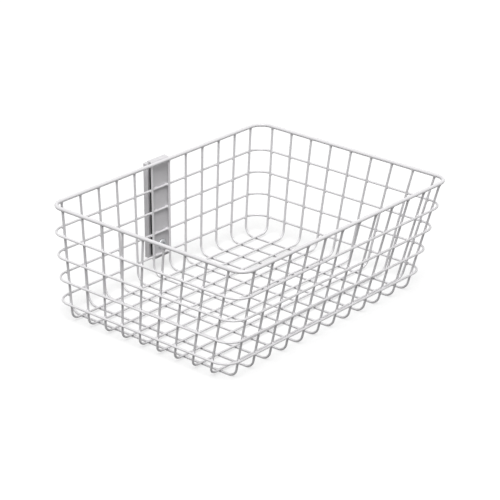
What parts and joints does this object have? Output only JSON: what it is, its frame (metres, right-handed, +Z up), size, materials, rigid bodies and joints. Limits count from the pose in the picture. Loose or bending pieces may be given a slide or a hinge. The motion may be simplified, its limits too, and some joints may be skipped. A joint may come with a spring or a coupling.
{
  "type": "cart wire basket",
  "caption": "Open-top wire basket with an upright back wall, a sloping front wall and a clamp bracket that fixes it to a cart's upright track.",
  "frame": {"origin": "under the middle of the part's box, on the surface that the floor wires stand on", "axes": "+X along the basket's long side, +Y out through the bracket on the back wall, +Z up"},
  "size_m": [0.3138, 0.2684, 0.1247],
  "materials": {
    "coated_wire": "satin off-white powder coat",
    "bracket_grey": "satin light grey powder coat",
    "spacer_black": "matte",
    "zinc_steel": "bright zinc"
  },
  "bodies": {
    "basket": {"rim": "coated_wire", "hoop_1": "coated_wire", "hoop_2": "coated_wire", "hoop_3": "coated_wire", "hoop_4": "coated_wire", "cross_wire_01": "coated_wire", "cross_wire_02": "coated_wire", "cross_wire_03": "coated_wire", "cross_wire_04": "coated_wire", "cross_wire_05": "coated_wire", "cross_wire_06": "coated_wire", "cross_wire_07": "coated_wire", "cross_wire_08": "coated_wire", "cross_wire_09": "coated_wire", "cross_wire_10": "coated_wire", "cross_wire_11": "coated_wire", "cross_wire_12": "coated_wire", "long_wire_1": "coated_wire", "long_wire_2": "coated_wire", "long_wire_3": "coated_wire", "long_wire_4": "coated_wire", "long_wire_5": "coated_wire", "long_wire_6": "coated_wire", "long_wire_7": "coated_wire", "long_wire_8": "coated_wire", "long_wire_9": "coated_wire", "mount_plate": "bracket_grey", "spacer_bar": "spacer_black"},
    "screw": {"clamp_screw": "zinc_steel"},
    "clamp": {"clamp_bar": "bracket_grey"}
  },
  "joints": [
    {"name": "clamp_slide", "type": "slide", "parent": "basket", "child": "clamp", "axis": [0, 1, 0], "range_m": [0, 0.002]},
    {"name": "screw_turn", "type": "hinge", "parent": "basket", "child": "screw", "pos_m": [0.0042, 0.12143, 0.03035], "axis": [0, -1, 0], "range_deg": [0, 720]}
  ],
  "couplings": [
    {"joint": "screw_turn", "follows": "clamp_slide", "rad_per_m": 6283.2}
  ]
}
